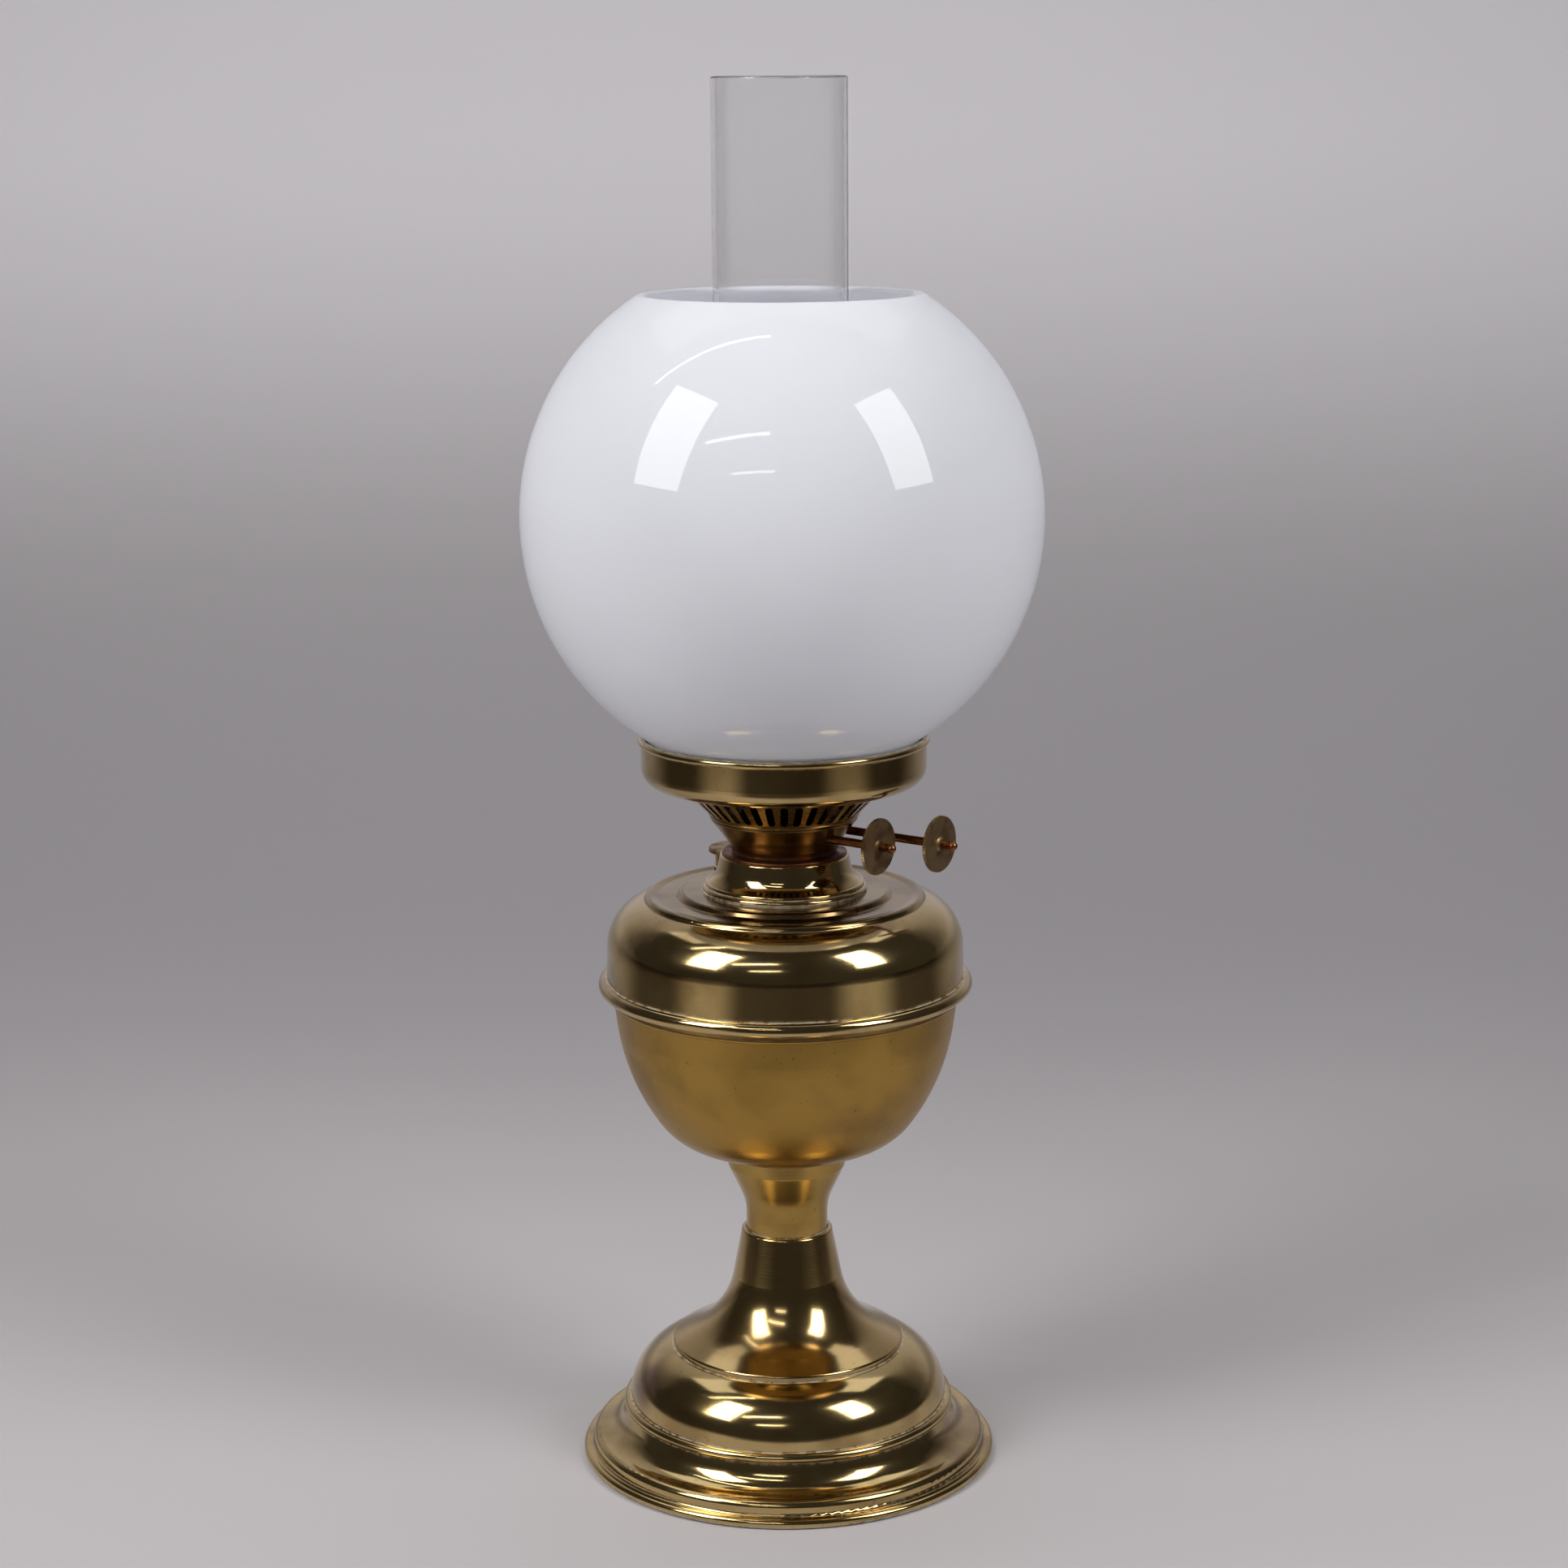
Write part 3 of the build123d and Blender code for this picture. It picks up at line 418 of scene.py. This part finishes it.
def wick_piece(side):
    """A flat woven tape with soft edges and ribs, cut square at the top and a little frayed at the bottom."""
    low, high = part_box(side + "_wick")
    centre, width, thickness, rows, columns = (low + high) / 2, 0.025, 0.0024, 78, 28
    across = Vector((-along.y, along.x, 0))
    verts, faces = [], []
    for i in range(rows + 1):
        level = low.z + (high.z - low.z) * i / rows
        rib = 0.00005 * (1 if i % 2 else -1)
        for j in range(2 * columns):
            turn = math.tau * j / (2 * columns)
            reach = math.copysign(abs(math.cos(turn)) ** 0.12, math.cos(turn)) * (width / 2 - 0.00005)
            depth = math.copysign(abs(math.sin(turn)) ** 0.7, math.sin(turn)) * (thickness / 2 - 0.0001 + rib)
            fray = 0.0008 * math.sin(9 * turn) ** 2 if i == 0 else 0.0
            verts.append(Vector((centre.x, centre.y, level + fray)) + along * reach + across * depth)
    ring = 2 * columns
    for i in range(rows):
        for j in range(ring):
            k = (j + 1) % ring
            faces.append((i * ring + j, i * ring + k, (i + 1) * ring + k, (i + 1) * ring + j))
    faces.append(tuple(reversed(range(ring))))
    faces.append(tuple(range(rows * ring, (rows + 1) * ring)))
    mesh = bpy.data.meshes.new(side + "_wick_tape")
    mesh.from_pydata(verts, [], faces)
    mesh.materials.append(looks["wick_cotton"])
    piece = new_piece(side + "_wick_tape", mesh)
    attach(piece, side + "_wick")
    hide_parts(side + "_wick")


for side in ("front", "rear"):
    knob_piece(side)
    wick_piece(side)


# Stage: one pale sheet for floor and backdrop, two soft boxes, ceiling tubes and a dim room

def backdrop():
    """A paper sweep: floor, a wide bend and a wall behind. The paper carries painted shade at the bend, painted
    light up the wall, and a painted dark room that only reflections see.
    """
    half, front, bend_start, bend, top = 3.5, -3.5, 0.5, 1.1, 2.6
    line = [(front, 0.0), (-0.8, 0.0)]
    for i in range(25):
        turn = math.pi / 2 * i / 24
        line.append((bend_start + bend * math.sin(turn), bend - bend * math.cos(turn)))
    line.append((bend_start + bend, top))
    verts = [(x, y, z) for y, z in line for x in (-half, half)]
    faces = [(2 * i, 2 * i + 1, 2 * i + 3, 2 * i + 2) for i in range(len(line) - 1)]
    mesh = bpy.data.meshes.new("sweep")
    mesh.from_pydata(verts, [], faces)
    mesh.shade_smooth()
    made = new_piece("sweep", mesh)
    material, tree, place = blank("paper_sweep_pale")
    where = add(tree, "ShaderNodeSeparateXYZ", {0: place}).outputs
    path = add(tree, "ShaderNodeLightPath").outputs
    aside = add(tree, MATH, {0: where["X"]}, operation="ABSOLUTE")
    # Painted reflection: to reflections only, the floor in front of and beside the lamp is drawn as a dark room,
    # paler in a bay at the sides and behind, instead of pale paper.
    in_front = add(tree, RANGE, {0: where["Y"], 1: -0.24, 2: -0.46}, **EASED)
    beside = add(tree, RANGE, {0: aside, 1: 0.36, 2: 0.60}, **EASED)
    low_down = add(tree, RANGE, {0: where["Z"], 1: 0.20, 2: 0.02}, **EASED)
    either = add(tree, MATH, {0: in_front, 1: beside}, operation="MAXIMUM")
    off_table = add(tree, MATH, {0: either, 1: low_down}, **TIMES)
    painted_room_reflection = add(tree, MATH, {0: off_table, 1: path["Is Glossy Ray"]}, **TIMES)
    ahead = add(tree, MATH, {0: where["Y"], 1: -1.0}, **TIMES)
    turned_away = add(tree, MATH, {0: aside, 1: ahead}, operation="ARCTAN2")
    bay_near = add(tree, RANGE, {0: turned_away, 1: 0.45, 2: 0.80}, **EASED)
    bay_far = add(tree, RANGE, {0: turned_away, 1: 1.35, 2: 0.95}, **EASED)
    painted_bright_bay_reflection = add(tree, MATH, {0: bay_near, 1: bay_far}, **TIMES)
    rear = add(tree, RANGE, {0: turned_away, 1: 1.75, 2: 2.30}, **EASED)
    # Painted shade: the floor behind the lamp and the foot of the bend are drawn darker grey.
    painted_shade_behind = add(tree, RANGE, {0: where["Y"], 1: 0.15, 2: 0.75}, **EASED)
    low = add(tree, RANGE, {0: where["Z"], 1: 0.40, 2: 0.02}, **EASED)
    bend = add(tree, MATH, {0: painted_shade_behind, 1: low}, **TIMES)
    # Painted light: the wall is drawn paler higher up.
    painted_light_up_wall = add(tree, RANGE, {0: where["Z"], 1: 0.14, 2: 0.50}, **EASED)
    mottle = add(tree, NOISE, {"Vector": place, "Scale": 1 / 0.4, "Detail": 3.0})
    colour = add(tree, MIX, {0: mottle, 6: paint("#BCB8B9"), 7: paint("#C0BCBD")}, **COLOURS)
    colour = add(tree, MIX, {0: bend, 6: colour, 7: paint("#A6A2A4")}, **COLOURS)
    colour = add(tree, MIX, {0: painted_light_up_wall, 6: colour, 7: paint("#EFEBED")}, **COLOURS)
    # Colours of the painted room reflection.
    room = add(tree, MIX, {0: painted_bright_bay_reflection, 6: paint("#4A4541"), 7: paint("#ACA69E")}, **COLOURS)
    room = add(tree, MIX, {0: rear, 6: room, 7: paint("#A8A3A0")}, **COLOURS)
    colour = add(tree, MIX, {0: painted_room_reflection, 6: colour, 7: room}, **COLOURS)
    shader = add(tree, SURFACE, {"Base Color": colour, "Roughness": 0.9, "Specular IOR Level": 0.1})
    mesh.materials.append(finished(material, shader))


def soft_box(name, place, aim, width, height, watts, colour="#FFFFFF"):
    light = bpy.data.lights.new(name, "AREA")
    light.shape = "RECTANGLE"
    light.size, light.size_y, light.energy = width, height, watts
    light.color = paint(colour)[:3]
    made = bpy.data.objects.new(name, light)
    made.location = place
    made.rotation_euler = (Vector(aim) - Vector(place)).to_track_quat("-Z", "Y").to_euler()
    bpy.context.collection.objects.link(made)


def room():
    """A dim room round the sweep, which the camera and clear glass see as pale as the paper."""
    world = bpy.data.worlds.new("room")
    world.use_nodes = True
    tree = world.node_tree
    tree.nodes.clear()
    path = add(tree, "ShaderNodeLightPath").outputs
    seen = add(tree, MATH, {0: path["Is Camera Ray"], 1: path["Is Transmission Ray"]}, operation="MAXIMUM")
    colour = add(tree, MIX, {0: seen, 6: paint("#3A3836"), 7: paint("#B4B0B2")}, **COLOURS)
    add(tree, "ShaderNodeOutputWorld", {"Surface": add(tree, "ShaderNodeBackground", {"Color": colour})})
    bpy.context.scene.world = world


backdrop()
room()
globe_middle = middle_of("globe_shade")
box_distance = 1.3
left_way, right_way = Vector((-0.686, -0.464, 0.559)), Vector((0.718, -0.439, 0.539))
soft_box("soft_box_left", globe_middle + left_way * box_distance, globe_middle, 0.50, 0.88, 12.6)
soft_box("ceiling_panel", (0.0, 1.0, 2.4), (0.0, 0.75, 0.0), 3.0, 1.2, 12.4, "#F4F6FF")
soft_box("soft_box_right", globe_middle + right_way * box_distance, globe_middle, 0.44, 0.84, 10.2)
ceiling, tube_aside = 2.07, -0.85
for depth, length, width, watts in ((-0.06, 1.5, 0.035, 2.4), (-1.9, 1.3, 0.10, 4.6), (-3.5, 1.3, 0.16, 6.5)):
    soft_box("ceiling_tube", (tube_aside, depth, ceiling), (tube_aside, depth, 0.0), length, width, watts)


# Camera, as the photograph was taken: a little above the middle, looking down 12 degrees

def take_photo_place():
    look_down, lean = math.radians(12.04), math.radians(-0.4)
    lens = bpy.data.cameras.new("photo_camera")
    lens.sensor_width = 36.0
    lens.lens = 74.53
    made = bpy.data.objects.new("photo_camera", lens)
    made.location = (0.0, -1.1762, 0.5116)
    pitch = Matrix.Rotation(math.pi / 2 - look_down, 4, "X")
    roll = Matrix.Rotation(lean, 4, "Z")
    made.rotation_euler = (pitch @ roll).to_euler()
    bpy.context.collection.objects.link(made)
    bpy.context.scene.camera = made


take_photo_place()
bpy.context.scene.view_settings.view_transform = "Standard"
